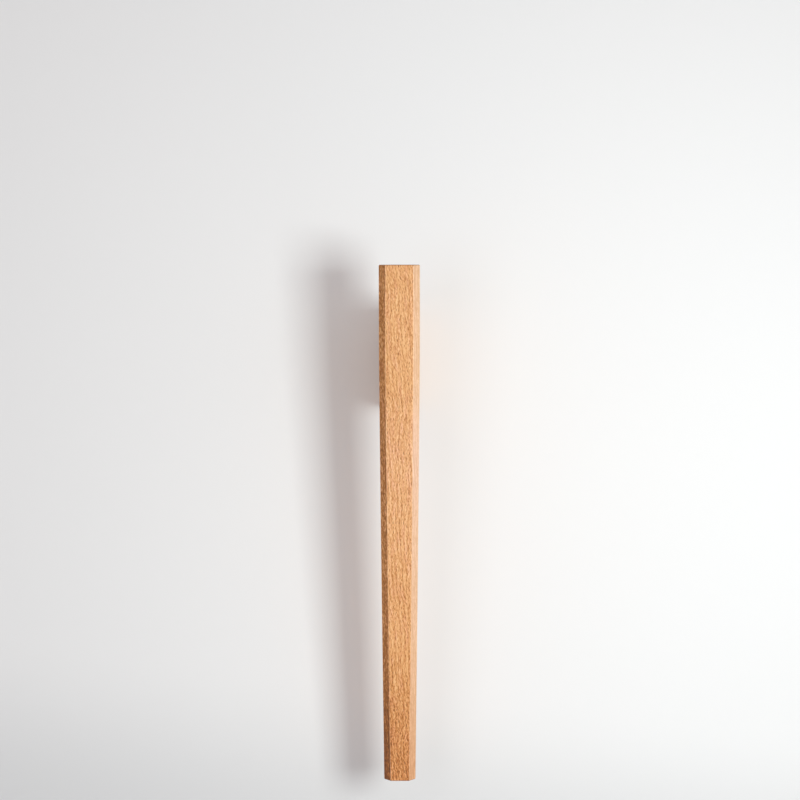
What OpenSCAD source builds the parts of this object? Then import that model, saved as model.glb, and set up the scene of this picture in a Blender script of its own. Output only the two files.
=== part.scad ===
// Slim wall vase: a tapered, chamfered hardwood bar that leans out from the wall at its top.
// It is bored for a glass tube, and a stand-off block carries it on a dovetail wall cleat.
// Millimetres, +Z up. The wall is the plane y = 0 and the room is at -Y.
// The origin is on the wall, midway between the two wall screws.

/* [Body] */
// Length of the body along its own axis
body_l = 410; // [330:5:500]
// Width and depth of the body above its taper
body_w = 32; // [31:0.5:40]
// Width and depth of the body at its foot
foot_w = 25; // [16:0.5:30]
// Length of the straight stretch below the top
straight_l = 62; // [20:1:120]
// Bow of the tapering sides, where 1 is a straight taper
taper_bow = 1.2; // [1:0.05:1.5]
// Leg of the long chamfers at the top
top_chamfer = 5; // [3:0.5:6]
// Leg of the long chamfers at the foot
foot_chamfer = 5; // [2:0.5:6]
// Eased edge round both ends
end_ease = 0.8; // [0.4:0.1:1.2]
// Angle by which the body leans out, in degrees
lean = 5; // [0:0.5:8]

/* [Glass tube] */
// Outside diameter of the tube
tube_d = 26; // [20:0.5:27]
// Thickness of the glass
tube_wall = 1; // [0.8:0.1:1.5]
// Length of the tube, with its round bottom
tube_l = 120; // [90:1:180]
// Depth of the tube's rim below the top of the wood
tube_recess = 1; // [0.5:0.5:5]
// Play all round the tube in its bore
tube_play = 0.3; // [0.2:0.05:0.5]
// Eased edge of the bore's mouth
bore_ease = 0.6; // [0.3:0.1:0.9]
// Thickness of the pad under the tube
pad_t = 3; // [1:0.5:6]

/* [Stand-off block] */
// Distance from the wall to the back of the body, at the middle of the block
standoff = 78; // [50:1:110]
// Height of the block
block_h = 84; // [70:1:110]
// Width of the block
block_w = 20; // [19:0.5:22]
// Eased long edges of the block
block_ease = 1; // [0.5:0.25:1.5]
// Distance from the top of the body to the middle of the block, along the body
block_drop = 71; // [50:0.5:90]
// Gap between the back of the block and the wall
wall_gap = 0.5; // [0.3:0.1:1.5]
// Diameter of the dowels in the joint
dowel_d = 3; // [2.5:0.5:4]
// Distance between the two dowels of a pair
dowel_pitch = 15; // [12:0.5:16]
// Distance from the end of the block to a pair of dowels
dowel_edge = 15; // [8:1:25]
// Length of a dowel in the block
dowel_seat = 7; // [5:0.5:12]
// Wood left between a dowel's end and the bore
dowel_cover = 1; // [0.6:0.1:1.5]

/* [Wall cleat] */
// Height of the cleat
cleat_h = 60; // [52:1:68]
// Thickness of the cleat
cleat_t = 7.5; // [6:0.5:10]
// Width of the cleat at the wall
cleat_back_w = 9; // [8:0.5:10]
// Width of the cleat at its front
cleat_front_w = 13; // [12:0.5:14]
// Corner cut at the cleat's ends, which guides the block on
cleat_lead = 2; // [1:0.5:3]
// Play between cleat and channel
slide_play = 0.3; // [0.25:0.05:0.5]

/* [Wall screws] */
// Distance from an end of the cleat to a screw's axis
screw_edge = 10; // [8:0.5:12]
// Outside diameter of a screw's thread
screw_d = 4; // [3.5:0.5:4.5]
// Diameter of a screw's plain shank, in the cleat
shank_d = 3; // [2.5:0.1:3.2]
// Length of plain shank past the back of the cleat
shank_past = 0.2; // [0.15:0.05:0.3]
// Diameter of a screw's head
screw_head_d = 8; // [6.5:0.5:9]
// Length of a screw
screw_l = 35; // [25:1:45]
// Depth of a screw's head below the front of the cleat
screw_sink = 0.3; // [0.2:0.1:0.6]
// Length of a screw's point
screw_tip = 5; // [3:0.5:8]
// Play between a screw and the cleat
screw_play = 0.15; // [0.1:0.05:0.3]
// Width of a slot in the cross recess
recess_w = 1.1; // [0.8:0.1:1.4]
// Length of a slot in the cross recess
recess_l = 4.6; // [3.6:0.2:5.4]
// Depth of the cross recess
recess_t = 1.8; // [1.2:0.1:2.2]

/* [Hidden] */
$fn = 96;

// Overrun of every cut past the surface that it opens
overrun = 1;
// Gap where one loose piece rests on another
seat_gap = 0.3;
// Play round a glued dowel or pad
glue_play = 0.05;
// Flat lip round a screw's head
head_lip = 0.4;
// Steps of the bowed taper
taper_steps = 4;
// Thickness of the slabs whose overlap is the bar
slab_t = 2 * body_w;

tube_r = tube_d / 2;
tube_in_r = tube_r - tube_wall;
bore_r = tube_r + tube_play;
bore_t = tube_recess + tube_l + seat_gap + pad_t;

// Where the body's axis crosses the level of the origin
axis_y = -(standoff + body_w / 2 / cos(lean));

screw_r = screw_d / 2;
shank_r = shank_d / 2;
head_r = screw_head_d / 2;
screw_rise = cleat_h / 2 - screw_edge;
dowel_rise = block_h / 2 - dowel_edge;
dowel_x = dowel_pitch / 2;

// Share of the taper that is done at a distance s below the top
function taper_share(s) = s <= straight_l ? 0 : pow((s - straight_l) / (body_l - straight_l), taper_bow);
function width_at(s) = body_w - (body_w - foot_w) * taper_share(s);
function chamfer_at(s) = top_chamfer - (top_chamfer - foot_chamfer) * taper_share(s);

// Distance from the axis to a side face (false) or to a chamfer's face (true)
function reach_at(s, corner) = corner ? (width_at(s) - chamfer_at(s)) / sqrt(2) : width_at(s) / 2;

// Stations down the bar between its two eased ends
stations = [
    end_ease,
    for (i = [0 : taper_steps - 1]) straight_l + (body_l - straight_l) * i / taper_steps,
    body_l - end_ease
];

// One side of the bar's outline, from the top down
function half_outline(corner) = [
    [reach_at(0, corner) - end_ease, 0],
    for (s = stations) [reach_at(s, corner), -s],
    [reach_at(body_l, corner) - end_ease, -body_l]
];

// A slab with the bar's outline, turned about the bar's axis
module outline_slab(turn, corner) {
    side = half_outline(corner);
    other = [for (i = [len(side) - 1 : -1 : 0]) [-side[i][0], side[i][1]]];
    rotate([90, 0, turn])
        linear_extrude(height = slab_t, center = true)
            polygon(concat(side, other));
}

// The bar before it is bored: the overlap of two slabs across its sides and two across its corners
module bar() {
    intersection() {
        outline_slab(0, false);
        outline_slab(90, false);
        outline_slab(45, true);
        outline_slab(-45, true);
    }
}

// Puts pieces that are drawn with the body upright, and its top at z = 0, where the body leans
module leaning() {
    translate([0, axis_y, 0])
        rotate([lean, 0, 0])
            translate([0, 0, block_drop])
                children();
}

// Depth of a dowel in the back of the body, at a distance s below the top
function dowel_bite(s) =
    width_at(s) / 2 - sqrt(pow(bore_r, 2) - pow(dowel_x - dowel_d / 2, 2)) - dowel_cover;

// A pair of dowels across the joint between block and body, at a height above the block's middle
module dowel_pair(rise, play) {
    s = block_drop - rise;
    bite = dowel_bite(s);
    for (side = [-1, 1])
        translate([side * dowel_x, width_at(s) / 2 + dowel_seat + play, -s])
            rotate([90, 0, 0])
                cylinder(d = dowel_d + 2 * play, h = bite + dowel_seat + 2 * play);
}

module all_dowels(play) {
    dowel_pair(dowel_rise, play);
    dowel_pair(-dowel_rise, play);
}

// The bored bar of the vase
module vase_body() {
    color("burlywood")
        leaning()
            difference() {
                bar();
                translate([0, 0, -bore_t])
                    cylinder(r = bore_r, h = bore_t + overrun);
                translate([0, 0, -bore_ease])
                    cylinder(r1 = bore_r, r2 = bore_r + bore_ease + overrun, h = bore_ease + overrun);
                all_dowels(glue_play);
            }
}

// Section of the cleat, or of its channel when it is grown by the play
module dovetail(play) {
    back = cleat_back_w / 2 + play;
    front = cleat_front_w / 2 + play;
    flare = (front - back) / cleat_t;
    deep = cleat_t + play;
    polygon([
        [back - flare * play, play],
        [back + flare * deep, -deep],
        [-back - flare * deep, -deep],
        [-back + flare * play, play]
    ]);
}

// The block between wall and body, with its channel open at the bottom and stopped at the top
module standoff_block() {
    half_w = block_w / 2;
    half_h = block_h / 2;
    channel_h = half_h + cleat_h / 2 + seat_gap;
    color("burlywood")
        difference() {
            translate([0, -wall_gap, 0])
                rotate([90, 0, 0])
                    linear_extrude(height = standoff + body_w / 2)
                        polygon([
                            [half_w - block_ease, half_h], [half_w, half_h - block_ease],
                            [half_w, block_ease - half_h], [half_w - block_ease, -half_h],
                            [block_ease - half_w, -half_h], [-half_w, block_ease - half_h],
                            [-half_w, half_h - block_ease], [block_ease - half_w, half_h]
                        ]);
            leaning() bar();
            leaning() all_dowels(glue_play);
            translate([0, 0, -half_h - overrun])
                linear_extrude(height = channel_h + overrun)
                    dovetail(slide_play);
        }
}

// Two dowels near the top of the block
module upper_dowels() {
    color("tan") leaning() dowel_pair(dowel_rise, 0);
}

// Two dowels near the bottom of the block
module lower_dowels() {
    color("tan") leaning() dowel_pair(-dowel_rise, 0);
}

// The felt disc at the bottom of the bore
module tube_pad() {
    color("dimgray")
        leaning()
            translate([0, 0, -bore_t])
                cylinder(r = bore_r - glue_play, h = pad_t);
}

// The glass tube, with a round bottom and a fire-polished rim
module glass_tube() {
    straight = tube_l - tube_r - tube_wall / 2;
    color("lightcyan", 0.5)
        leaning()
            translate([0, 0, tube_r - tube_recess - tube_l])
                rotate_extrude()
                    union() {
                        difference() {
                            intersection() {
                                circle(r = tube_r);
                                translate([0, -tube_r]) square([tube_r, tube_r]);
                            }
                            circle(r = tube_in_r);
                        }
                        translate([tube_in_r, 0]) square([tube_wall, straight]);
                        translate([tube_r - tube_wall / 2, straight]) circle(d = tube_wall);
                    }
}

// The dovetail cleat on the wall, with two countersunk screw holes
module wall_cleat() {
    half_w = cleat_front_w / 2;
    half_h = cleat_h / 2;
    color("silver")
        difference() {
            intersection() {
                translate([0, 0, -half_h])
                    linear_extrude(height = cleat_h)
                        dovetail(0);
                rotate([90, 0, 0])
                    linear_extrude(height = cleat_t)
                        polygon([
                            [half_w - cleat_lead, half_h], [half_w, half_h - cleat_lead],
                            [half_w, cleat_lead - half_h], [half_w - cleat_lead, -half_h],
                            [cleat_lead - half_w, -half_h], [-half_w, cleat_lead - half_h],
                            [-half_w, half_h - cleat_lead], [cleat_lead - half_w, half_h]
                        ]);
            }
            for (side = [-1, 1])
                translate([0, 0, side * screw_rise])
                    screw_hole();
        }
}

// A countersunk hole through the cleat, along Y
module screw_hole() {
    hole_r = screw_r + screw_play;
    mouth_r = head_r + screw_play;
    seat = cleat_t - screw_sink - head_lip;
    rotate([90, 0, 0]) {
        translate([0, 0, -overrun])
            cylinder(r = hole_r, h = cleat_t + 2 * overrun);
        translate([0, 0, seat - mouth_r + hole_r])
            cylinder(r1 = hole_r, r2 = mouth_r, h = mouth_r - hole_r);
        translate([0, 0, seat])
            cylinder(r = mouth_r, h = cleat_t - seat + overrun);
    }
}

// A countersunk screw with a cross recess; its thread, drawn as a cylinder, is in the wall
module screw() {
    face = cleat_t - screw_sink;
    neck = face - head_lip - head_r + shank_r;
    point = face - screw_l;
    color("gainsboro")
        rotate([90, 0, 0])
            difference() {
                rotate_extrude()
                    polygon([
                        [0, face], [head_r, face], [head_r, face - head_lip], [shank_r, neck],
                        [shank_r, -shank_past], [screw_r, -shank_past], [screw_r, point + screw_tip],
                        [0, point]
                    ]);
                for (turn = [0, 90])
                    rotate([0, 0, turn])
                        translate([-recess_l / 2, -recess_w / 2, face - recess_t])
                            cube([recess_l, recess_w, recess_t + overrun]);
            }
}

module upper_screw() {
    translate([0, 0, screw_rise]) screw();
}

module lower_screw() {
    translate([0, 0, -screw_rise]) screw();
}

vase_body();
standoff_block();
upper_dowels();
lower_dowels();
tube_pad();
glass_tube();
wall_cleat();
upper_screw();
lower_screw();
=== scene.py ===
"""Slim wall vase in oiled beech: the looks of its pieces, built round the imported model. Metres, +Z up."""
import math

import bpy
import numpy as np
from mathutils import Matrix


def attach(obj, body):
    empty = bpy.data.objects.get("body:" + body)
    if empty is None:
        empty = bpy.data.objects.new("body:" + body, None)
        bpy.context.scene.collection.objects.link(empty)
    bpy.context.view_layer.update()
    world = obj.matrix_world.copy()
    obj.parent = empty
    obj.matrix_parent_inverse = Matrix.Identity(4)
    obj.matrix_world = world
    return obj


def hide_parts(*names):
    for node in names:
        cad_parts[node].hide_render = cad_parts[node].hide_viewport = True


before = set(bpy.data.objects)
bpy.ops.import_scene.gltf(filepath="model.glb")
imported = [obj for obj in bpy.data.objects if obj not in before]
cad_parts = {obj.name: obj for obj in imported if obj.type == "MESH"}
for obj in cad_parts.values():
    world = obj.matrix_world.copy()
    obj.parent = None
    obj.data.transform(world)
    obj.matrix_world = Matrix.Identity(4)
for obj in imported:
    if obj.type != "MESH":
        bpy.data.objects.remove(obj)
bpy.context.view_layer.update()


# Body: one bar of beech, square with chamfered corners, that tapers to its foot and leans out at the top.
# It is sawn and planed to shape, bored from the top for the glass tube, eased along every edge, and oiled.
# Two pairs of dowel holes in its back take the joint to the stand-off block.
BODY_L = 0.410
BODY_W = 0.032
FOOT_W = 0.025
STRAIGHT_L = 0.062
TAPER_BOW = 1.2
TOP_CHAMFER = 0.005
FOOT_CHAMFER = 0.005
END_EASE = 0.0008
ARRIS_R = 0.0010
LEAN = math.radians(5)
STANDOFF = 0.078
BLOCK_DROP = 0.071
BORE_R = 0.0133
BORE_T = 0.1243
BORE_EASE = 0.0006
DOWEL_R = 0.0015
DOWEL_X = 0.0075
DOWEL_RISE = 0.027
DOWEL_SEAT = 0.007
DOWEL_COVER = 0.001
EIGHTH_TURN = math.pi / 4
AXIS_Y = -(STANDOFF + BODY_W / 2 / math.cos(LEAN))
BODY_TOP = np.array([0, AXIS_Y - BLOCK_DROP * math.sin(LEAN), BLOCK_DROP * math.cos(LEAN)])
# Into how many steps the bar's surface is divided, and where the rings lie that cross its foot, mouth and
# bore floor, as shares of the way out from the axis or from the rim to the bore.
ARC_STEPS = 4
FLAT_STEPS = 12
SIDE_STEPS = 72
BORE_STEPS = 24
PIN_STEPS = 48
FOOT_SHARES = np.array([0.25, 0.5, 0.75, 0.92])
MOUTH_SHARES = np.array([0.3, 0.6, 1])
FLOOR_SHARES = np.array([0.7, 0.3])


def lean_out(points):
    """Points drawn upright, with the body's top at z = 0, put where the body leans. They are turned about
    X by LEAN, where x stays, y' = y cos - z sin and z' = y sin + z cos, and then moved by BODY_TOP."""
    x, y, z = np.moveaxis(points, -1, 0)
    turned = [x, y * math.cos(LEAN) - z * math.sin(LEAN), y * math.sin(LEAN) + z * math.cos(LEAN)]
    return np.stack(turned, axis=-1) + BODY_TOP


def full_turn(steps):
    """Angles once round, in equal steps, without the last one, which is the first again."""
    return np.linspace(0, 2 * math.pi, steps + 1)[:-1]


def bar_ring(drop, inset):
    """Outlines of the bar at distances drop below its top, drawn in by inset: an octagon whose sides lie
    width / 2 and (width - chamfer) / sqrt 2 from the axis, and whose corners are arcs of ARRIS_R. The share
    of the way down the tapered part, to the power TAPER_BOW, sets width and chamfer."""
    taper = (np.clip(drop - STRAIGHT_L, 0, None) / (BODY_L - STRAIGHT_L)) ** TAPER_BOW
    width = BODY_W - (BODY_W - FOOT_W) * taper
    chamfer = TOP_CHAMFER - (TOP_CHAMFER - FOOT_CHAMFER) * taper
    face = width / 2 - inset - ARRIS_R
    corner = (width - chamfer) / math.sqrt(2) - inset - ARRIS_R
    this_side = np.stack([face, corner] * 4, axis=-1)
    next_side = np.roll(this_side, -1, axis=-1)
    along = (next_side - this_side * math.cos(EIGHTH_TURN)) / math.sin(EIGHTH_TURN)
    normal = np.arange(8) * EIGHTH_TURN
    outwards = np.stack([np.cos(normal), np.sin(normal)], axis=-1)
    sideways = np.stack([-np.sin(normal), np.cos(normal)], axis=-1)
    centre = this_side[..., None] * outwards + along[..., None] * sideways
    turn = normal[:, None] + np.linspace(0, EIGHTH_TURN, ARC_STEPS + 1)
    arc = centre[..., None, :] + ARRIS_R * np.stack([np.cos(turn), np.sin(turn)], axis=-1)
    start, end = arc[..., -1:, :], np.roll(arc, -1, axis=-3)[..., :1, :]
    way = np.linspace(0, 1, FLAT_STEPS + 1)[1:-1, None]
    ring = np.concatenate([arc, start + (end - start) * way], axis=-2)
    return ring.reshape(*ring.shape[:-3], -1, 2)


def add_piece(name, mesh, body):
    """Puts a finished mesh into the scene, shaded smooth, and lets it ride on a body."""
    mesh.polygons.foreach_set("use_smooth", np.ones(len(mesh.polygons), bool))
    mesh.update()
    piece = bpy.data.objects.new(name, mesh)
    bpy.context.scene.collection.objects.link(piece)
    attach(piece, body)
    return piece


def closed_surface(name, rings, body):
    """A piece from a grid of points: rings (rows, points round, 3) joined row to row, each end closed by a
    fan to the middle of its ring. Rows run up the outside and points run anticlockwise seen from above."""
    rows, around = rings.shape[:2]
    middles = rings[[0, -1]].mean(axis=1)
    points = np.concatenate([rings.reshape(-1, 3), middles])
    row, col = np.meshgrid(np.arange(rows - 1), np.arange(around), indexing="ij")
    after = (col + 1) % around
    quads = np.stack([row * around + col, row * around + after,
                      (row + 1) * around + after, (row + 1) * around + col], axis=-1).reshape(-1, 4)
    first = np.arange(around)
    second = (first + 1) % around
    last_row = (rows - 1) * around
    low_middle, high_middle = np.full(around, rows * around), np.full(around, rows * around + 1)
    fans = [np.stack([low_middle, second, first], axis=-1),
            np.stack([high_middle, last_row + first, last_row + second], axis=-1)]
    mesh = bpy.data.meshes.new(name)
    mesh.from_pydata(points.tolist(), [], quads.tolist() + fans[0].tolist() + fans[1].tolist())
    return add_piece(name, mesh, body)


def flats_kept_flat(piece):
    """Weights each corner's normal by the area of its faces, so that only the narrow arcs look round."""
    weighted = piece.modifiers.new("flats", "WEIGHTED_NORMAL")
    weighted.mode = "FACE_AREA"
    weighted.weight = 100
    weighted.keep_sharp = True


def round_over(radius, steps=5):
    """The insets and the rises of a quarter circle, from the side (inset 0) to the end (inset radius)."""
    turn = np.linspace(0, math.pi / 2, steps + 1)
    return radius * (1 - np.cos(turn)), radius * np.sin(turn)


def bar_surface():
    """The bar's rings in order: foot face, eased foot, tapered sides, eased top, mouth, bore wall and bore
    floor. The mouth blends from the octagon to a circle along lines of equal angle about the axis."""
    inset, rise = round_over(END_EASE)
    sides = np.linspace(END_EASE, BODY_L - END_EASE, SIDE_STEPS + 1)[::-1]
    foot = np.full(len(FOOT_SHARES), BODY_L)
    foot_face = bar_ring(foot, np.full(len(foot), END_EASE)) * FOOT_SHARES[:, None, None]
    drops = np.concatenate([(BODY_L - END_EASE + rise)[::-1], sides[1:-1], END_EASE - rise])
    insets = np.concatenate([inset[::-1], np.zeros(SIDE_STEPS - 1), inset])
    outside = bar_ring(drops, insets)
    rim = outside[-1]
    angle = np.arctan2(rim[:, 1], rim[:, 0])
    circle = np.stack([np.cos(angle), np.sin(angle)], axis=-1)
    mouth_r = BORE_R + BORE_EASE
    share = MOUTH_SHARES[:, None, None]
    mouth = rim * (1 - share) + circle * mouth_r * share
    ease_in, ease_down = round_over(BORE_EASE)
    bore_r = np.concatenate([mouth_r - ease_down[1:], np.full(BORE_STEPS, BORE_R), BORE_R * FLOOR_SHARES])
    bore_drop = np.concatenate([ease_in[1:], np.linspace(BORE_EASE, BORE_T, BORE_STEPS + 1)[1:],
                                np.full(len(FLOOR_SHARES), BORE_T)])
    flat = np.concatenate([foot_face, outside, mouth, circle * bore_r[:, None, None]])
    drop = np.concatenate([foot, drops, np.zeros(len(MOUTH_SHARES)), bore_drop])
    height = np.broadcast_to(-drop[:, None, None], (*flat.shape[:2], 1))
    return lean_out(np.concatenate([flat, height], axis=-1))


def dowel_hole(rise, side):
    """A closed pin from behind the body to the bottom of a dowel hole, which stops DOWEL_COVER short of the
    bore's wall at the hole's side next to the axis."""
    turn = full_turn(PIN_STEPS)
    near_bore = math.sqrt(BORE_R ** 2 - (DOWEL_X - DOWEL_R) ** 2) + DOWEL_COVER
    depth = np.array([near_bore, BODY_W / 2 + DOWEL_SEAT])[::-1, None]
    x = side * DOWEL_X + DOWEL_R * np.cos(turn) + 0 * depth
    z = rise - BLOCK_DROP + DOWEL_R * np.sin(turn) + 0 * depth
    return lean_out(np.stack([x, depth + 0 * x, z], axis=-1))


def cut_away(piece, cutters):
    """Takes the cutters' shapes out of the piece for good, and deletes the cutters."""
    for cutter in cutters:
        cut = piece.modifiers.new("cut", "BOOLEAN")
        cut.operation = "DIFFERENCE"
        cut.solver = "EXACT"
        cut.object = cutter
    solid = piece.evaluated_get(bpy.context.evaluated_depsgraph_get())
    piece.data = bpy.data.meshes.new_from_object(solid)
    piece.modifiers.clear()
    for cutter in cutters:
        bpy.data.objects.remove(cutter)


body = closed_surface("beech_body", bar_surface(), "vase")
cut_away(body, [closed_surface("pin", dowel_hole(rise, side), "vase")
                for rise in (DOWEL_RISE, -DOWEL_RISE) for side in (1, -1)])
flats_kept_flat(body)
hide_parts("vase_body")


def put(tree, kind, feeds=None, **settings):
    """Adds a shader node. feeds pairs an input's name or number with a value or another node's output."""
    node = tree.nodes.new("ShaderNode" + kind)
    for name, value in settings.items():
        setattr(node, name, value)
    for key, value in (feeds or {}).items():
        if isinstance(value, bpy.types.NodeSocket):
            tree.links.new(value, node.inputs[key])
        else:
            node.inputs[key].default_value = value
    return node


def calc(tree, operation, *values):
    """The result of a Math node on one to three values."""
    return put(tree, "Math", dict(enumerate(values)), operation=operation).outputs[0]


def calc_place(tree, operation, *places):
    """The result of a Vector Math node on one or two places."""
    return put(tree, "VectorMath", dict(enumerate(places)), operation=operation).outputs[0]


def distance(tree, place):
    """How far a place is from the origin."""
    return put(tree, "VectorMath", {0: place}, operation="LENGTH").outputs["Value"]


def parts_of(tree, place):
    """The x, y and z of a place or a direction."""
    return put(tree, "SeparateXYZ", {0: place}).outputs


def ramp(tree, value, low, high, out_low=0.0, out_high=1.0):
    """A value's smooth step from out_low at low to out_high at high."""
    feeds = {"Value": value, "From Min": low, "From Max": high, "To Min": out_low, "To Max": out_high}
    return put(tree, "MapRange", feeds, interpolation_type="SMOOTHSTEP").outputs["Result"]


def noise(tree, place, width, length, detail=2.0, roughness=0.5):
    """Soft noise about 0.5, in cells of that width in x and y and that length in z: its value and colour."""
    cells = calc_place(tree, "MULTIPLY", place, (1 / width, 1 / width, 1 / length))
    feeds = {"Vector": cells, "Scale": 1.0, "Detail": detail, "Roughness": roughness}
    return put(tree, "TexNoise", feeds, noise_dimensions="3D").outputs


def about_zero(tree, value, strength):
    """Noise turned into an amount that swings to both sides of zero."""
    return calc(tree, "MULTIPLY", calc(tree, "SUBTRACT", value, 0.5), strength)


def mix_colour(tree, share, first, second, blend="MIX"):
    """Two colours mixed, or blended, by a share."""
    node = put(tree, "Mix", data_type="RGBA", blend_type=blend)
    for socket, value in zip((node.inputs[0], node.inputs[6], node.inputs[7]), (share, first, second)):
        if isinstance(value, bpy.types.NodeSocket):
            tree.links.new(value, socket)
        else:
            socket.default_value = value
    return node.outputs[2]


# The rays of beech, in millimetres. A ray has a cell to itself, apart wide and above high, and scatter says
# how far it strays in it. It varies in size and in strength, and is darkest within RAY_CORE of its size.
RAYS = {"apart": 2.1, "above": 3.4, "width": 0.5, "height": 3.2, "scatter": 0.85}
SMALL_RAYS = {"apart": 0.9, "above": 2.4, "width": 0.3, "height": 1.9, "scatter": 1.0}
SMALL_RAY_SHARE = 0.6
RAY_SIZES = (0.6, 1.15)
RAY_STRENGTHS = (0.5, 1.0)
RAY_CORE = 0.35
# How squarely a face must look along the rays to show them cut across, how squarely to be darker still, and
# how squarely along the grain to be end grain, which shows END_CUT of the rays. Where none are cut across,
# FAINT_RAY of their darkness and FAINT_STREAK of the streaks are left. On the bar, being darker still is
# partly painted shade, on the chamfer that faces away from the light.
ACROSS = (0.15, 0.75)
SQUARE = (0.84, 0.985)
END = (0.25, 0.8)
END_CUT = 0.75
FAINT_RAY = 0.1
FAINT_STREAK = 0.35
# The grain's slow wander, the way from the tree's middle to the origin, the year rings and the ripple that
# runs across the grain.
WANDER = 5
FROM_PITH = (14, 58, 0)
RING_W = 2.7
RING_SWELL = 2.4
RING_DARKENS = (0.2, 0.93)
RIPPLE_W = 2.0
RIPPLE_WAVER = 12
RIPPLE = 0.09
# Between these heights the wood turns to the butt of the tree, where the tone is darker, the streaks gain
# BUTT_LIVELY, and the faces square to the rays gain BUTT_SQUARE over the SQUARE_SHARE that they have above.
BUTT = (-410.0, -300.0)
BUTT_LIVELY = 0.55
BUTT_SQUARE = 0.8
SQUARE_SHARE = 0.95
# What each pattern adds to the tone, which runs from 0, pale, to 1, dark, and starts at TONE.
TONE = 0.15
STREAK_TONE = 0.6
FIBRE_TONE = 0.25
BAND_TONE = 0.45
GRIT_TONE = 0.35
BROAD_TONE = 0.12
BLOTCH_TONE = 1.0
RAY_TONE = 0.53
BUTT_RAY_TONE = 0.40
RING_TONE = 0.10
END_TONE = 0.62
# Faces square to the rays darken by the next amount; on the bar this is partly painted shade.
SQUARE_TONE_AND_SHADE = 0.25
BUTT_TONE = 0.11
# The same for the roughness and for the height of the relief.
ROUGH = 0.40
FIBRE_ROUGH = 0.16
RAY_ROUGH = 0.10
SATIN_ROUGH = -0.12
END_ROUGH = 0.12
RAY_RISE = -1.0
FIBRE_RISE = 0.7
GRIT_RISE = 0.4
# The colours of the tone where rays are cut across, and the paler pair where the face runs along them, which
# covers SATIN_SHARE there and is paler by SATIN_RAY on a ray. A blush lies over the first in soft clouds.
SATIN_SHARE = 0.85
SATIN_RAY = -0.3
SATIN_TONES = (-0.1, 0.45)
BLUSH_CLOUDS = (0.45, 0.7)
BLUSH_SHARE = 0.6
BEECH_PALE = (0.865, 0.515, 0.245, 1)
BEECH_MID = (0.725, 0.352, 0.13, 1)
BEECH_DEEP = (0.42, 0.150, 0.024, 1)
BEECH_DARK = (0.16, 0.052, 0.006, 1)
BEECH_BLUSH = (1.0, 0.93, 1.12, 1)
SATIN_PALE = (0.86, 0.58, 0.395, 1)
SATIN_DEEP = (0.64, 0.37, 0.20, 1)
WHITE = (1, 1, 1, 1)


def ray_flecks(tree, plane, apart, above, width, height, scatter):
    """Rays of that width and height as a mask. The distance from a cell's own point, in half widths and half
    heights, is set against a size drawn for that cell, and the mask is scaled by a strength drawn for it."""
    spot = calc_place(tree, "MULTIPLY", plane, (1 / apart, 1 / above, 1))
    feeds = {"Vector": spot, "Scale": 1.0, "Randomness": scatter}
    cells = put(tree, "TexVoronoi", feeds, voronoi_dimensions="2D").outputs
    drawn = put(tree, "SeparateColor", {0: cells["Color"]}).outputs
    off = calc_place(tree, "SUBTRACT", spot, cells["Position"])
    reach = distance(tree, calc_place(tree, "MULTIPLY", off, (2 * apart / width, 2 * above / height, 0)))
    size = ramp(tree, drawn[0], 0.0, 1.0, *RAY_SIZES)
    mask = ramp(tree, reach, calc(tree, "MULTIPLY", size, RAY_CORE), size, 1.0, 0.0)
    return calc(tree, "MULTIPLY", mask, ramp(tree, drawn[1], 0.0, 1.0, *RAY_STRENGTHS))


def year_rings(tree, place, wavy):
    """How far into the dark late wood of its year a place lies: the fraction of (distance from the pith /
    ring width + slow noise), which darkens through the year and falls back sharply at its end."""
    level = calc_place(tree, "MULTIPLY", calc_place(tree, "ADD", wavy, FROM_PITH), (1, 1, 0))
    years = calc(tree, "MULTIPLY", distance(tree, level), 1 / RING_W)
    swell = calc(tree, "MULTIPLY", noise(tree, place, width=30, length=70, detail=1.0)[0], RING_SWELL)
    year = calc(tree, "FRACT", calc(tree, "ADD", years, swell))
    darkens = ramp(tree, year, *RING_DARKENS)
    falls = ramp(tree, year, RING_DARKENS[1], 1.0, 1.0, 0.0)
    return calc(tree, "MULTIPLY", darkens, falls)


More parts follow.
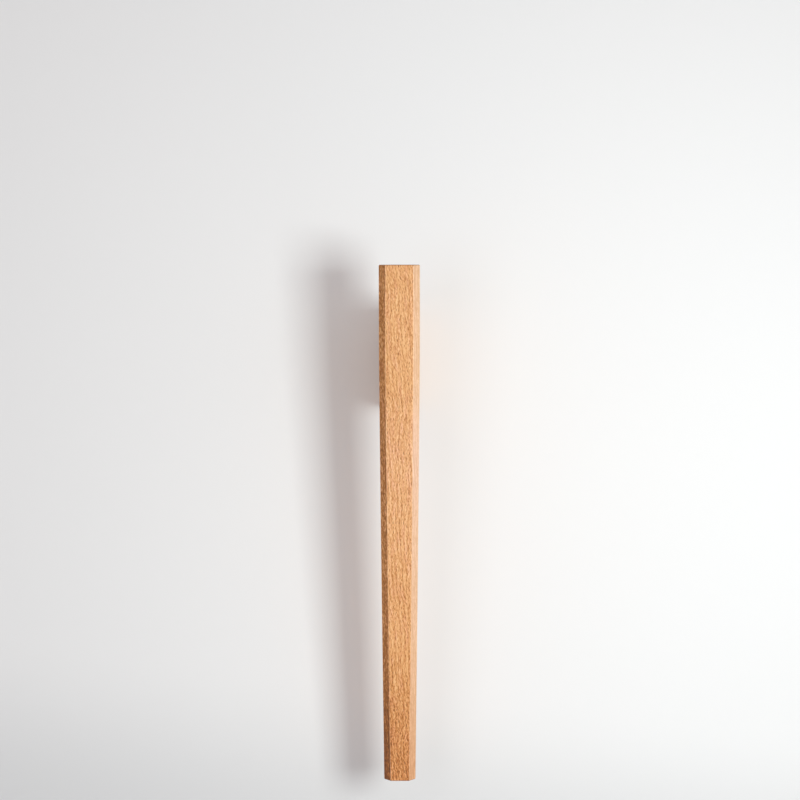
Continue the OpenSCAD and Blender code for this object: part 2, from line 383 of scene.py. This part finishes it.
def beech_group():
    """Beech in the tree's own axes, in millimetres: x runs round the rings, y out along the rays and z up
    the grain. Rays are flat spindles that show as dark flecks where the surface cuts across them and as
    satin patches where it runs along them. Rings, fibres, a fine ripple and slow changes of tone lie under
    them. The butt is darker, and its flecks are stronger."""
    tree = bpy.data.node_groups.new("beech", "ShaderNodeTree")
    for name in ("Place", "Facing"):
        tree.interface.new_socket(name, in_out="INPUT", socket_type="NodeSocketVector")
    tree.interface.new_socket("Colour", in_out="OUTPUT", socket_type="NodeSocketColor")
    for name in ("Roughness", "Height"):
        tree.interface.new_socket(name, in_out="OUTPUT", socket_type="NodeSocketFloat")
    given = tree.nodes.new("NodeGroupInput").outputs
    place = given["Place"]

    wander = noise(tree, place, width=22, length=30, detail=0.0)["Color"]
    centred = calc_place(tree, "SUBTRACT", wander, (0.5, 0.5, 0.5))
    wavy = calc_place(tree, "ADD", place, calc_place(tree, "MULTIPLY", centred, (WANDER, WANDER, 0)))
    flat = parts_of(tree, wavy)
    butt = ramp(tree, flat[2], *BUTT, 1.0, 0.0)

    facing = parts_of(tree, given["Facing"])
    towards_rays = calc(tree, "ABSOLUTE", facing[1])
    across = ramp(tree, towards_rays, *ACROSS)
    square = ramp(tree, towards_rays, *SQUARE)
    end = ramp(tree, calc(tree, "ABSOLUTE", facing[2]), *END)
    cut = calc(tree, "MAXIMUM", across, calc(tree, "MULTIPLY", end, END_CUT))

    grain_plane = put(tree, "CombineXYZ", {0: flat[0], 1: flat[2]}).outputs[0]
    rays = ray_flecks(tree, grain_plane, **RAYS)
    small_rays = calc(tree, "MULTIPLY", ray_flecks(tree, grain_plane, **SMALL_RAYS), SMALL_RAY_SHARE)
    all_rays = calc(tree, "MAXIMUM", rays, small_rays)
    dark_ray = calc(tree, "MULTIPLY", all_rays, ramp(tree, cut, 0.0, 1.0, FAINT_RAY, 1.0))
    ring = year_rings(tree, place, wavy)

    waver = calc(tree, "MULTIPLY", noise(tree, place, width=3.5, length=4, detail=1.0)[0], RIPPLE_WAVER)
    swing = calc(tree, "MULTIPLY_ADD", flat[0], 2 * math.pi / RIPPLE_W, waver)
    ripple = calc(tree, "MULTIPLY", calc(tree, "SINE", swing), RIPPLE)
    streaks = noise(tree, wavy, width=0.33, length=4.6, detail=1.0)[0]
    bands = noise(tree, wavy, width=0.7, length=45, detail=1.0)[0]
    fibre = noise(tree, wavy, width=0.25, length=7, detail=3.0, roughness=0.6)[0]
    grit = noise(tree, wavy, width=0.3, length=1.8, detail=1.0)[0]
    broad = noise(tree, place, width=16, length=60)[0]
    blotch = noise(tree, wavy, width=1.6, length=2.6, detail=1.0)[0]
    blush = noise(tree, wavy, width=2.5, length=14)[0]

    lively = calc(tree, "MULTIPLY", ramp(tree, cut, 0.0, 1.0, FAINT_STREAK, 1.0),
                  calc(tree, "MULTIPLY_ADD", butt, BUTT_LIVELY, 1.0))
    # Faces square to the rays are darker; on the bar this is partly painted shade on the chamfer away from
    # the light.
    square_share = calc(tree, "MULTIPLY_ADD", butt, BUTT_SQUARE, SQUARE_SHARE)
    square_tone_and_shade = calc(tree, "MULTIPLY", square, square_share)
    butt_ray = calc(tree, "MULTIPLY", dark_ray, butt)
    tone = calc(tree, "MULTIPLY", calc(tree, "ADD", about_zero(tree, streaks, STREAK_TONE), ripple), lively)
    for pattern, strength in ((fibre, FIBRE_TONE), (bands, BAND_TONE),
                              (grit, GRIT_TONE), (broad, BROAD_TONE)):
        tone = calc(tree, "ADD", tone, about_zero(tree, pattern, strength))
    tone = calc(tree, "ADD", tone, TONE)
    for mask, strength in ((dark_ray, RAY_TONE), (butt_ray, BUTT_RAY_TONE), (ring, RING_TONE),
                           (end, END_TONE), (square_tone_and_shade, SQUARE_TONE_AND_SHADE), (butt, BUTT_TONE)):
        tone = calc(tree, "MULTIPLY_ADD", mask, strength, tone)
    tone = calc(tree, "MULTIPLY_ADD", about_zero(tree, blotch, BLOTCH_TONE), square, tone)

    colours = put(tree, "ValToRGB", {"Fac": tone})
    stops = colours.color_ramp.elements
    stops[0].position, stops[0].color = 0.0, BEECH_PALE
    stops[1].position, stops[1].color = 1.0, BEECH_DARK
    for position, colour in ((0.20, BEECH_MID), (0.5, BEECH_DEEP)):
        stops.new(position).color = colour
    pink = mix_colour(tree, ramp(tree, blush, *BLUSH_CLOUDS, 0.0, BLUSH_SHARE), WHITE, BEECH_BLUSH)
    flecked = mix_colour(tree, 1.0, colours.outputs["Color"], pink, blend="MULTIPLY")
    along = calc(tree, "MULTIPLY", calc(tree, "SUBTRACT", 1.0, across), calc(tree, "SUBTRACT", 1.0, end))
    satin = calc(tree, "MULTIPLY", rays, along)
    satin_tone = calc(tree, "MULTIPLY_ADD", satin, SATIN_RAY, ramp(tree, tone, *SATIN_TONES))
    colour = mix_colour(tree, calc(tree, "MULTIPLY", along, SATIN_SHARE), flecked,
                        mix_colour(tree, satin_tone, SATIN_PALE, SATIN_DEEP))

    rough = calc(tree, "MULTIPLY_ADD", fibre, FIBRE_ROUGH, ROUGH)
    for mask, strength in ((dark_ray, RAY_ROUGH), (satin, SATIN_ROUGH), (end, END_ROUGH)):
        rough = calc(tree, "MULTIPLY_ADD", mask, strength, rough)
    height = calc(tree, "MULTIPLY", dark_ray, RAY_RISE)
    for pattern, strength in ((fibre, FIBRE_RISE), (grit, GRIT_RISE)):
        height = calc(tree, "MULTIPLY_ADD", pattern, strength, height)

    result = tree.nodes.new("NodeGroupOutput")
    for name, value in (("Colour", colour), ("Roughness", rough), ("Height", height)):
        tree.links.new(value, result.inputs[name])
    return tree


BEECH = beech_group()
GRAIN_RELIEF = 0.00006
GRAIN_RELIEF_SHARE = 0.6


def shader(name):
    """A new material whose Principled shader is joined to its output, with its tree and that shader."""
    material = bpy.data.materials.new(name)
    material.use_nodes = True
    tree = material.node_tree
    tree.nodes.clear()
    principled = put(tree, "BsdfPrincipled")
    output = put(tree, "OutputMaterial", {"Surface": principled.outputs[0]})
    output.target = "ALL"
    return material, tree, principled


def place_in(tree):
    """Object coordinates, which are the part's own frame, because every piece's object is at the origin."""
    return put(tree, "TexCoord").outputs["Object"]


def add_relief(tree, principled, height, strength, depth):
    """Fine relief from a height, through a Bump node to the shader's normal."""
    relief = put(tree, "Bump", {"Height": height, "Strength": strength, "Distance": depth})
    tree.links.new(relief.outputs[0], principled.inputs["Normal"])


def wood_axes(tree, origin, turn):
    """The place, in millimetres from origin, and the normal, both in a piece's own grain axes."""
    seen = put(tree, "TexCoord").outputs
    turn = tuple(math.radians(angle) for angle in turn)
    upright = put(tree, "Mapping", {"Vector": seen["Object"], "Location": tuple(origin), "Rotation": turn,
                                    "Scale": (0.001, 0.001, 0.001)}, vector_type="TEXTURE").outputs[0]
    facing = put(tree, "Mapping", {"Vector": seen["Normal"], "Rotation": turn},
                 vector_type="TEXTURE").outputs[0]
    return upright, facing


def beech_material(name, origin, turn, tints_and_light=()):
    """Oiled beech: the shared figure, a fine relief, and slow changes of colour from the origin down, given
    as pairs of depth in millimetres and colour: the wood's tint, and on the bar also painted light."""
    material, tree, principled = shader(name)
    place, facing = wood_axes(tree, origin, turn)
    figure = put(tree, "Group", node_tree=BEECH)
    tree.links.new(place, figure.inputs["Place"])
    tree.links.new(facing, figure.inputs["Facing"])
    colour = figure.outputs["Colour"]
    if tints_and_light:
        deepest = tints_and_light[-1][0]
        slow = put(tree, "ValToRGB", {"Fac": calc(tree, "DIVIDE", parts_of(tree, place)[2], -deepest)})
        stops = slow.color_ramp.elements
        for stop, (down, tint_and_light) in zip((stops[0], stops[1]), (tints_and_light[0], tints_and_light[-1])):
            stop.position, stop.color = down / deepest, (*tint_and_light, 1)
        for down, tint_and_light in tints_and_light[1:-1]:
            stops.new(down / deepest).color = (*tint_and_light, 1)
        colour = mix_colour(tree, 1.0, colour, slow.outputs["Color"], blend="MULTIPLY")
    tree.links.new(colour, principled.inputs["Base Color"])
    tree.links.new(figure.outputs["Roughness"], principled.inputs["Roughness"])
    add_relief(tree, principled, figure.outputs["Height"], GRAIN_RELIEF_SHARE, GRAIN_RELIEF)
    return material


# Where the bar lies in the tree: its top is the origin of its grain, and it is turned by RIFT about its
# length, so that the flats show flecks, one pair of chamfers is square to the rays and the other runs along
# them. The bar's tints list depths in millimetres below the top, with a colour there: the darker foot is the
# wood's tone, and the darker top and the paler, bluer middle are painted light, brightest where the light
# peaks.
# The turn puts the darker square pair on the bar's left-front chamfer, which faces away from the light, so
# that darkness is partly painted shade.
RIFT = -38
# Painted light: the top is darker and the middle paler, as the light on the bar peaks at mid-height.
BAR_TINTS_AND_LIGHT = ((0, (0.955, 0.95, 0.93)), (90, (0.955, 0.95, 0.93)), (150, (1, 1.02, 1.15)),
             (215, (0.985, 0.985, 1.02)), (330, (0.96, 0.91, 0.85)), (410, (0.95, 0.82, 0.72)))
# The paler colour below is a painted highlight on the arrises; the gloss that goes with it is real.
ARRIS_HIGHLIGHT = (0.94, 0.66, 0.44, 1)
ARRIS_HIGHLIGHT_SHARE = 0.32
ARRIS_GLOSS = 0.22
ARRIS_COSINES = (-0.6, 0.5)
ARRIS_SLOPES = (0.15, 0.35)


def highlighted_arrises(material):
    """Sanding leaves the eight long arrises smoother, and a painted highlight makes them paler in colour.
    They face between the flats, so the cosine of eight times the way they face is low. What looks up or down
    stays as it is."""
    tree = material.node_tree
    principled = next(node for node in tree.nodes if node.type == "BSDF_PRINCIPLED")
    facing = parts_of(tree, put(tree, "TexCoord").outputs["Normal"])
    way = calc(tree, "ARCTAN2", facing[1], facing[0])
    eightfold = calc(tree, "COSINE", calc(tree, "MULTIPLY", way, 8.0))
    level = ramp(tree, calc(tree, "ABSOLUTE", facing[2]), *ARRIS_SLOPES, 1.0, 0.0)
    arris = calc(tree, "MULTIPLY", ramp(tree, eightfold, *ARRIS_COSINES, 1.0, 0.0), level)
    colour = principled.inputs["Base Color"].links[0].from_socket
    # Painted highlight: a paler colour mixed into the arrises.
    highlighted = mix_colour(tree, calc(tree, "MULTIPLY", arris, ARRIS_HIGHLIGHT_SHARE), colour, ARRIS_HIGHLIGHT)
    tree.links.new(highlighted, principled.inputs["Base Color"])
    rough = principled.inputs["Roughness"].links[0].from_socket
    tree.links.new(calc(tree, "MULTIPLY_ADD", arris, -ARRIS_GLOSS, rough), principled.inputs["Roughness"])


oiled_beech = beech_material("oiled_beech", BODY_TOP, (math.degrees(LEAN), 0, RIFT), BAR_TINTS_AND_LIGHT)
highlighted_arrises(oiled_beech)
body.data.materials.append(oiled_beech)


# Stand-off block: beech, a little duller than the body, glued and dowelled to its back, its edges eased.
# A dovetail channel in its back, open at the bottom, drops over the cleat on the wall.
BLOCK_EASE = 0.0003
BLOCK_GRAIN = (0.003, -0.02, 0.2)
BLOCK_TURN = (0, 0, 28)
BLOCK_TINTS = ((0, (0.84, 0.87, 0.93)), (250, (0.84, 0.87, 0.93)))
WELD_GAP = 0.000005
FLAT_ANGLE = math.radians(0.5)
EDGE_ANGLE = math.radians(25)


def eased_copy(name, node, body, ease, steps=3):
    """A merged copy of a CAD node's mesh whose sharp edges are rounded by ease."""
    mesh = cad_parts[node].data.copy()
    mesh.name = name
    mesh.materials.clear()
    piece = add_piece(name, mesh, body)
    weld = piece.modifiers.new("weld", "WELD")
    weld.merge_threshold = WELD_GAP
    flat = piece.modifiers.new("join_flats", "DECIMATE")
    flat.decimate_type = "DISSOLVE"
    flat.angle_limit = FLAT_ANGLE
    edge = piece.modifiers.new("ease", "BEVEL")
    edge.width = ease
    edge.segments = steps
    edge.limit_method = "ANGLE"
    edge.angle_limit = EDGE_ANGLE
    edge.harden_normals = False
    flats_kept_flat(piece)
    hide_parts(node)
    return piece


block = eased_copy("beech_block", "standoff_block", "vase", BLOCK_EASE)
block.data.materials.append(beech_material("block_beech", BLOCK_GRAIN, BLOCK_TURN, BLOCK_TINTS))


# Dowels: plain 3 mm beech pins across the glued joint, one pair in its upper half and one in its lower.
# Their grain runs along them, front to back.
DOWEL_GRAIN = (0.01, 0.3, 0)
DOWEL_TURN = (90, 0, 20)
dowel_beech = beech_material("dowel_beech", DOWEL_GRAIN, DOWEL_TURN)
for node in ("upper_dowels", "lower_dowels"):
    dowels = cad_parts[node]
    dowels.data.materials.clear()
    dowels.data.materials.append(dowel_beech)


# Felt pad: a disc of pressed wool, punched out and dropped to the bottom of the bore, where the glass rests.
# Its rims are rounded by the punch, and its top is a little uneven.
PAD_T = 0.003
PAD_GAP = 0.00005
PAD_R = BORE_R - PAD_GAP
PAD_EASE = 0.0006
PAD_STEPS = 96
PAD_UNDER_SHARES = np.array([0.3, 0.6, 0.85])
PAD_TOP_SHARES = np.array([0.9, 0.75, 0.6, 0.45, 0.3, 0.15])
FELT_WAVE = 0.00004
FELT_SINK = 0.0001
FELT_HAIR = 0.0006
FELT_LUMP = 0.003
HAIR_SHARE = 0.7
LUMP_SHARE = 0.3
FELT_RELIEF = 0.0003
FELT_DARK = (0.016, 0.016, 0.018, 1)
FELT_PALE = (0.075, 0.075, 0.08, 1)


def felt_surface():
    """A disc with rounded rims. Its top lies FELT_SINK lower, plus FELT_WAVE times the sum of two sines of x
    and y in metres: that of (2100 x + 1.3 sin 900 y) and that of (1700 y + 400 x)."""
    turn = full_turn(PAD_STEPS)
    rim_in, rim_up = round_over(PAD_EASE)
    radius = np.concatenate([PAD_R * PAD_UNDER_SHARES, (PAD_R - rim_in)[::-1],
                             PAD_R - rim_in, PAD_R * PAD_TOP_SHARES])
    height = np.concatenate([np.zeros(len(PAD_UNDER_SHARES)), (PAD_EASE - rim_up)[::-1],
                             PAD_T - PAD_EASE + rim_up, np.full(len(PAD_TOP_SHARES), PAD_T)])
    x = radius[:, None] * np.cos(turn)
    y = radius[:, None] * np.sin(turn)
    z = height[:, None] + np.zeros_like(x)
    uneven = np.sin(x * 2100 + 1.3 * np.sin(y * 900)) + np.sin(y * 1700 + x * 400)
    z = np.where(z >= PAD_T, z + (FELT_WAVE * uneven - FELT_SINK), z)
    return lean_out(np.stack([x, y, z - BORE_T], axis=-1))


pad = closed_surface("felt_pad", felt_surface(), "vase")
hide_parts("tube_pad")
material, tree, principled = shader("pressed_felt")
hairs = noise(tree, place_in(tree), FELT_HAIR, FELT_HAIR, detail=4.0, roughness=0.7)[0]
lumps = noise(tree, place_in(tree), FELT_LUMP, FELT_LUMP, detail=1.0)[0]
shade = calc(tree, "MULTIPLY_ADD", hairs, HAIR_SHARE, calc(tree, "MULTIPLY", lumps, LUMP_SHARE))
rough = ramp(tree, hairs, low=0.3, high=0.7, out_low=0.85, out_high=1.0)
tree.links.new(mix_colour(tree, shade, FELT_DARK, FELT_PALE), principled.inputs["Base Color"])
tree.links.new(rough, principled.inputs["Roughness"])
add_relief(tree, principled, shade, strength=0.8, depth=FELT_RELIEF)
principled.inputs["Sheen Weight"].default_value = 0.4
pad.data.materials.append(material)


# Glass tube: blown borosilicate with a round bottom and a fire-polished rim, loose in the bore.
# It holds the water and lifts straight out to be rinsed. Drawing left faint lines along it, and a thin film
# of dried water dulls it in places.
TUBE_R = 0.013
TUBE_WALL = 0.001
TUBE_L = 0.120
TUBE_RECESS = 0.001
RIM_BEAD = 0.00015
BEAD_H = 0.001
BOTTOM_STEPS = 32
WALL_STEPS = 40
BEAD_STEPS = 8
RIM_STEPS = 16
TUBE_STEPS = 128
FILM_W = 0.012
FILM_L = 0.03
DRAW_W = 0.004
DRAW_L = 0.05
DRAW_RELIEF = 0.0002
GLASS_GREEN = (0.93, 0.965, 0.955, 1)
GLASS_CLEAR = (0.97, 0.985, 0.98, 1)


def tube_surface():
    """A profile turned about the axis: outer quarter circle, outer wall, a rim of half a circle that swells
    by RIM_BEAD over the last BEAD_H, inner wall and inner quarter circle."""
    down = np.linspace(0, math.pi / 2, BOTTOM_STEPS + 1)[1:]
    inner_r = TUBE_R - TUBE_WALL
    straight = TUBE_L - TUBE_R - TUBE_WALL / 2
    wall = np.linspace(0, straight - BEAD_H, WALL_STEPS + 1)[1:]
    swell = np.linspace(0, 1, BEAD_STEPS + 1)[1:]
    near_rim = straight - BEAD_H + BEAD_H * swell
    bead = RIM_BEAD * (1 - np.cos(swell * math.pi)) / 2
    half = np.linspace(0, math.pi, RIM_STEPS + 1)[1:-1]
    bead_r = TUBE_WALL / 2 + RIM_BEAD
    radius = np.concatenate([
        TUBE_R * np.sin(down), np.full(WALL_STEPS, TUBE_R), TUBE_R + bead,
        TUBE_R - TUBE_WALL / 2 + bead_r * np.cos(half),
        (inner_r - bead)[::-1], np.full(WALL_STEPS, inner_r), inner_r * np.sin(down)[::-1]])
    height = np.concatenate([
        -TUBE_R * np.cos(down), wall, near_rim,
        straight + TUBE_WALL / 2 * np.sin(half),
        near_rim[::-1], wall[::-1], -inner_r * np.cos(down)[::-1]])
    turn = full_turn(TUBE_STEPS)
    x = radius[:, None] * np.cos(turn)
    y = radius[:, None] * np.sin(turn)
    z = height[:, None] + TUBE_R - TUBE_RECESS - TUBE_L + np.zeros_like(x)
    return lean_out(np.stack([x, y, z], axis=-1))


tube = closed_surface("glass_vial", tube_surface(), "tube")
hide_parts("glass_tube")
material, tree, principled = shader("clear_glass")
film = noise(tree, place_in(tree), FILM_W, FILM_L, detail=3.0)[0]
draw = noise(tree, place_in(tree), DRAW_W, DRAW_L, detail=1.0)[0]
rough = ramp(tree, film, low=0.35, high=0.75, out_low=0.0, out_high=0.06)
tree.links.new(rough, principled.inputs["Roughness"])
tree.links.new(mix_colour(tree, film, GLASS_GREEN, GLASS_CLEAR), principled.inputs["Base Color"])
add_relief(tree, principled, draw, strength=0.15, depth=DRAW_RELIEF)
principled.inputs["Transmission Weight"].default_value = 1.0
principled.inputs["IOR"].default_value = 1.47
tube.data.materials.append(material)


# Wall cleat: a length of drawn aluminium dovetail, sawn off, its corners cut back and its two holes
# countersunk. It is screwed to the wall, and the block slides down over it.
CLEAT_EASE = 0.00025
DIE_LINE_W = 0.00025
DIE_LINE_L = 0.03
CLOUD_W = 0.008
CLOUD_L = 0.02
LINE_SHARE = 0.6
CLOUD_SHARE = 0.4
LINE_ROUGH = 0.25
CLOUD_ROUGH = 0.2
ALUMINIUM_ROUGH = 0.18
DIE_RELIEF = 0.00005
ALUMINIUM_DULL = (0.62, 0.63, 0.65, 1)
ALUMINIUM_BRIGHT = (0.86, 0.87, 0.88, 1)
cleat = eased_copy("dovetail_cleat", "wall_cleat", "wall_fixing", CLEAT_EASE)
material, tree, principled = shader("drawn_aluminium")
lines = noise(tree, place_in(tree), DIE_LINE_W, DIE_LINE_L, detail=3.0, roughness=0.65)[0]
cloud = noise(tree, place_in(tree), CLOUD_W, CLOUD_L, detail=3.0)[0]
shade = calc(tree, "MULTIPLY_ADD", lines, LINE_SHARE, calc(tree, "MULTIPLY", cloud, CLOUD_SHARE))
clouded = calc(tree, "MULTIPLY_ADD", cloud, CLOUD_ROUGH, ALUMINIUM_ROUGH)
rough = calc(tree, "MULTIPLY_ADD", lines, LINE_ROUGH, clouded)
tree.links.new(mix_colour(tree, shade, ALUMINIUM_DULL, ALUMINIUM_BRIGHT), principled.inputs["Base Color"])
tree.links.new(rough, principled.inputs["Roughness"])
add_relief(tree, principled, lines, strength=0.35, depth=DIE_RELIEF)
principled.inputs["Metallic"].default_value = 1.0
cleat.data.materials.append(material)


# Wall screws: zinc-plated steel, 4 x 35 mm, countersunk, with a cross recess and a rolled thread.
# Each passes through the cleat and bites into a plug in the wall.
CLEAT_T = 0.0075
SCREW_RISE = 0.020
SCREW_L = 0.035
HEAD_R = 0.004
THREAD_R = 0.002
ROOT_R = 0.00135
SHANK_R = 0.0015
THREAD_PITCH = 0.0018
SCREW_SINK = 0.0003
HEAD_LIP = 0.0004
SCREW_TIP = 0.005
RECESS_L = 0.0046
RECESS_W = 0.0011
RECESS_T = 0.0018
# How softly the recess's sides meet the head, the share of its length over which its ends slope, and by
# what share it is shallower at the rim. Then the power with which the core grows from the tip, how many
# times sooner the crest does, and the gap between the thread, the plain neck and the head.
RECESS_SOFT = 0.00012
RECESS_RUN = 0.18
RECESS_RISE = 0.25
TIP_POWER = 0.8
TIP_CREST = 1.6
SECTION_GAP = 0.0002
THREAD_FADE = 0.002
THREAD_STEPS = 260
NECK_STEPS = 8
SCREW_STEPS = 96
LIP_OUT_SHARES = np.array([0.99, 1, 0.985, 0.95])
LIP_DOWN_SHARES = np.array([0.7, 0.35, 0.08, 0])
HEAD_SHARES = np.linspace(0.92, 0.02, 40)
SPANGLE_W = 0.0015
DULL_W = 0.006
SPANGLE_ROUGH = 0.2
DULL_ROUGH = 0.25
ZINC_ROUGH = 0.12
ZINC_GREY = (0.56, 0.57, 0.58, 1)
ZINC_BRIGHT = (0.80, 0.80, 0.77, 1)


def screw_surface(rise):
    """Rows from the point to the middle of the head, along Y. The thread's radius swells from root to crest
    with the cubed cosine of (height / pitch - turn), and the core thins to the point over SCREW_TIP. The
    recess is a cross of two slots that slope down from their ends and are deepest in the middle."""
    face = CLEAT_T - SCREW_SINK
    point = face - SCREW_L
    neck = face - HEAD_LIP - HEAD_R + SHANK_R
    turn = full_turn(SCREW_STEPS)
    height = np.concatenate([np.linspace(point, -SECTION_GAP, THREAD_STEPS),
                             np.linspace(0, neck, NECK_STEPS),
                             np.linspace(neck + SECTION_GAP, face - HEAD_LIP, NECK_STEPS)])[:, None]
    crest = np.clip(np.cos(height / THREAD_PITCH * 2 * math.pi - turn), 0, 1) ** 3
    fade = np.clip((-SECTION_GAP - height) / THREAD_FADE, 0, 1)
    tip = np.clip((height - point) / SCREW_TIP, 0, 1)
    core = ROOT_R * tip ** TIP_POWER * fade + SHANK_R * (1 - fade)
    thread = core + (THREAD_R - ROOT_R) * crest * fade * np.clip(tip * TIP_CREST, 0, 1) * (tip > 0)
    cone = SHANK_R + np.clip(height - neck, 0, HEAD_R - SHANK_R)
    shaft = np.where(height > neck, cone + 0 * turn, thread)
    lip = LIP_OUT_SHARES[:, None] * HEAD_R + 0 * turn
    lip_up = face - HEAD_LIP * LIP_DOWN_SHARES[:, None] + 0 * turn
    top_r = HEAD_R * HEAD_SHARES[:, None] + 0 * turn
    x, z = top_r * np.cos(turn), top_r * np.sin(turn)
    slots = []
    for along_slot, across_slot in ((x, z), (z, x)):
        wide = np.clip((RECESS_W / 2 - np.abs(across_slot)) / RECESS_SOFT + 0.5, 0, 1)
        long = np.clip((RECESS_L / 2 - np.abs(along_slot)) / (RECESS_L * RECESS_RUN), 0, 1)
        slots.append(wide * long)
    top_up = face - RECESS_T * np.maximum(*slots) * (1 - RECESS_RISE * np.hypot(x, z) / HEAD_R)
    radius = np.concatenate([shaft, lip, top_r])
    along = np.concatenate([height + 0 * turn, lip_up, top_up])
    return np.stack([radius * np.cos(turn), -along, radius * np.sin(turn) + rise], axis=-1)


zinc_plate, tree, principled = shader("zinc_plate")
spangle = noise(tree, place_in(tree), SPANGLE_W, SPANGLE_W, detail=4.0, roughness=0.65)[0]
dull = noise(tree, place_in(tree), DULL_W, DULL_W)[0]
dulled = calc(tree, "MULTIPLY_ADD", dull, DULL_ROUGH, ZINC_ROUGH)
rough = calc(tree, "MULTIPLY_ADD", spangle, SPANGLE_ROUGH, dulled)
tree.links.new(mix_colour(tree, spangle, ZINC_GREY, ZINC_BRIGHT), principled.inputs["Base Color"])
tree.links.new(rough, principled.inputs["Roughness"])
principled.inputs["Metallic"].default_value = 1.0
for name, side in (("upper_screw", 1), ("lower_screw", -1)):
    screw = closed_surface("zinc_" + name, screw_surface(side * SCREW_RISE), "wall_fixing")
    screw.data.materials.append(zinc_plate)
    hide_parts(name)


# Studio: a matt white wall that the vase hangs on, a pale floor far below, and soft light from the right.
# The wall is a little greyer low down and to the left, which is painted shade where the light falls off. It
# is clear from behind, so the fixing shows.
# The camera is level and stands 1.35 m out, a little above the middle of the body.
WALL_REACH = 4.0
WALL_UP = 2.2
WALL_GAP = 0.0002
FLOOR_DROP = 1.3
FLOOR_REACH = 20.0
PAINT_WHITE = (0.83, 0.83, 0.83, 1)
SHADE_GREY = (0.70, 0.705, 0.71, 1)
SHADE_SLANT = 0.12
SHADE_HEIGHTS = (-0.42, -0.27)
FLOOR_PALE = (0.82, 0.82, 0.82, 1)
MATT = 0.9


def plain_sheet(name, corners, material):
    """A flat four-cornered backdrop."""
    mesh = bpy.data.meshes.new(name)
    mesh.from_pydata(corners, [], [(0, 1, 2, 3)])
    mesh.materials.append(material)
    sheet = bpy.data.objects.new(name, mesh)
    bpy.context.scene.collection.objects.link(sheet)
    return sheet


paint, tree, principled = shader("white_wall")
seen = parts_of(tree, place_in(tree))
# Painted shade: the wall greys low down and to the left.
lit = ramp(tree, calc(tree, "MULTIPLY_ADD", seen["X"], SHADE_SLANT, seen["Z"]), *SHADE_HEIGHTS)
tree.links.new(mix_colour(tree, lit, SHADE_GREY, PAINT_WHITE), principled.inputs["Base Color"])
principled.inputs["Roughness"].default_value = MATT
principled.inputs["Specular IOR Level"].default_value = 0.1
clear = put(tree, "BsdfTransparent")
behind = put(tree, "MixShader", {0: put(tree, "NewGeometry").outputs["Backfacing"],
                                 1: principled.outputs[0], 2: clear.outputs[0]})
output = next(node for node in tree.nodes if node.type == "OUTPUT_MATERIAL")
tree.links.new(behind.outputs[0], output.inputs["Surface"])
wall = plain_sheet("wall", [(x * WALL_REACH, WALL_GAP, z)
                            for x, z in ((-1, -FLOOR_DROP), (1, -FLOOR_DROP), (1, WALL_UP), (-1, WALL_UP))],
                   paint)
ground, tree, principled = shader("pale_floor")
principled.inputs["Base Color"].default_value = FLOOR_PALE
principled.inputs["Roughness"].default_value = MATT
plain_sheet("floor", [(x * FLOOR_REACH, y * FLOOR_REACH, -FLOOR_DROP)
                      for x, y in ((-1, -1), (1, -1), (1, 1), (-1, 1))], ground)


def soft_box(name, place, aim, width, height, watts, colour=(1, 1, 1)):
    """A rectangular light at place, turned to face aim."""
    light = bpy.data.lights.new(name, "AREA")
    light.shape = "RECTANGLE"
    light.size, light.size_y = width, height
    light.energy = watts
    light.color = colour
    lamp = bpy.data.objects.new(name, light)
    bpy.context.scene.collection.objects.link(lamp)
    away = np.array(place) - np.array(aim)
    lamp.location = place
    lamp.rotation_euler = (math.acos(away[2] / np.linalg.norm(away)), 0, math.atan2(away[0], -away[1]))
    return lamp


COOL = (0.94, 1.0, 0.985)
WARM = (1.0, 0.955, 0.965)
ROOM_LIGHT = 0.45
soft_box("key_light", place=(0.48, -0.95, -0.0935), aim=(0, -0.08, -0.12),
         width=0.30, height=0.35, watts=6.5, colour=COOL)
soft_box("side_light", place=(1.6, -0.35, 0.0), aim=(0.2, 0, -0.1), width=0.5, height=1.6, watts=2.1)
soft_box("window_light", place=(0.2, -1.6, 1.6), aim=(0, -0.05, -0.1),
         width=1.6, height=1.2, watts=4.2, colour=WARM)
soft_box("front_fill", place=(-0.5, -1.15, -0.05), aim=(0, 0, -0.1),
         width=0.5, height=0.6, watts=1.6, colour=WARM)
back_light = soft_box("back_light", place=(0.5, 1.6, 0.9), aim=(0, -0.05, -0.1),
                      width=1.2, height=1.2, watts=22.0)
not_wall = bpy.data.collections.new("back_light_blockers")
not_wall.objects.link(wall)
not_wall.collection_objects[0].light_linking.link_state = "EXCLUDE"
back_light.light_linking.blocker_collection = not_wall

world = bpy.data.worlds.new("pale_room")
world.use_nodes = True
world.node_tree.nodes["Background"].inputs["Color"].default_value = (*WARM, 1)
world.node_tree.nodes["Background"].inputs["Strength"].default_value = ROOM_LIGHT
bpy.context.scene.world = world
bpy.context.scene.view_settings.view_transform = "Standard"

CAMERA_PLACE = (0.00045, -1.352, -0.0351)
CAMERA_ROLL = math.radians(0.065)
LENS_MM = 72
SENSOR_MM = 36
camera = bpy.data.objects.new("camera", bpy.data.cameras.new("camera"))
camera.data.lens = LENS_MM
camera.data.sensor_width = SENSOR_MM
camera.location = CAMERA_PLACE
camera.rotation_euler = (math.pi / 2, CAMERA_ROLL, 0)
bpy.context.scene.collection.objects.link(camera)
bpy.context.scene.camera = camera
